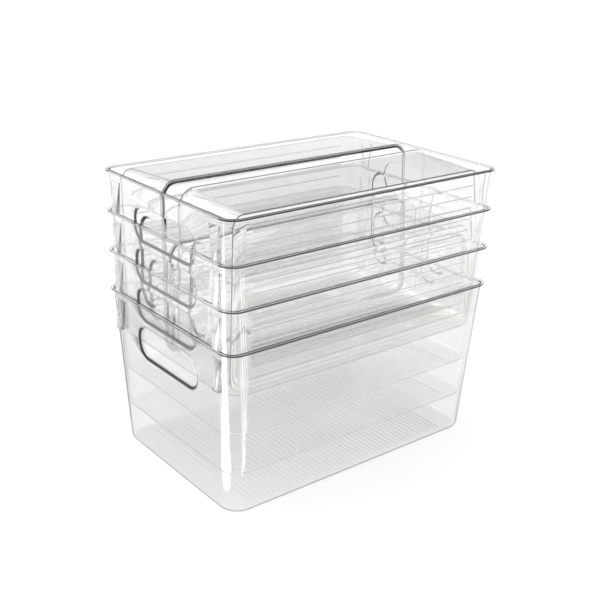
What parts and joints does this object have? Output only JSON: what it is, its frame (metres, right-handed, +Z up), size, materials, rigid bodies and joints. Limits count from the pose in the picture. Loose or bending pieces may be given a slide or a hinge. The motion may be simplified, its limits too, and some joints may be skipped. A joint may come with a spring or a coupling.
{
  "type": "refrigerator storage bin set",
  "caption": "Clear open-topped storage bins with hand slots in both ends, nested in a stack, with shallower bins lying on edge in the top bin.",
  "frame": {"origin": "middle of the underside of the lowest bin, on the plane that it stands on", "axes": "+X along the long walls, +Y from the front long wall to the rear one, +Z up"},
  "size_m": [0.315, 0.21, 0.2808],
  "materials": {
    "deep_bin_plastic": "clear, glossy, injection moulded",
    "wide_bin_plastic": "clear, glossy, injection moulded",
    "narrow_bin_plastic": "clear, glossy, injection moulded"
  },
  "bodies": {
    "deep_bin_1": {"deep_bin_1": "deep_bin_plastic"},
    "deep_bin_2": {"deep_bin_2": "deep_bin_plastic"},
    "deep_bin_3": {"deep_bin_3": "deep_bin_plastic"},
    "deep_bin_4": {"deep_bin_4": "deep_bin_plastic"},
    "wide_bin_front": {"wide_bin_front": "wide_bin_plastic"},
    "wide_bin_rear": {"wide_bin_rear": "wide_bin_plastic"},
    "narrow_bin_front": {"narrow_bin_front": "narrow_bin_plastic"},
    "narrow_bin_rear": {"narrow_bin_rear": "narrow_bin_plastic"}
  },
  "joints": [
    {"name": "deep_bin_2_lift", "type": "slide", "parent": "deep_bin_1", "child": "deep_bin_2", "axis": [0, 0, 1], "range_m": [0, 0.13]},
    {"name": "deep_bin_3_lift", "type": "slide", "parent": "deep_bin_2", "child": "deep_bin_3", "axis": [0, 0, 1], "range_m": [0, 0.13]},
    {"name": "deep_bin_4_lift", "type": "slide", "parent": "deep_bin_3", "child": "deep_bin_4", "axis": [0, 0, 1], "range_m": [0, 0.13]},
    {"name": "wide_bin_front_lift", "type": "slide", "parent": "deep_bin_4", "child": "wide_bin_front", "axis": [0, 0, 1], "range_m": [0, 0.17]},
    {"name": "wide_bin_rear_lift", "type": "slide", "parent": "deep_bin_4", "child": "wide_bin_rear", "axis": [0, 0, 1], "range_m": [0, 0.17]},
    {"name": "narrow_bin_front_lift", "type": "slide", "parent": "wide_bin_front", "child": "narrow_bin_front", "axis": [0, 0, 1], "range_m": [0, 0.04]},
    {"name": "narrow_bin_rear_lift", "type": "slide", "parent": "wide_bin_rear", "child": "narrow_bin_rear", "axis": [0, 0, 1], "range_m": [0, 0.04]}
  ]
}
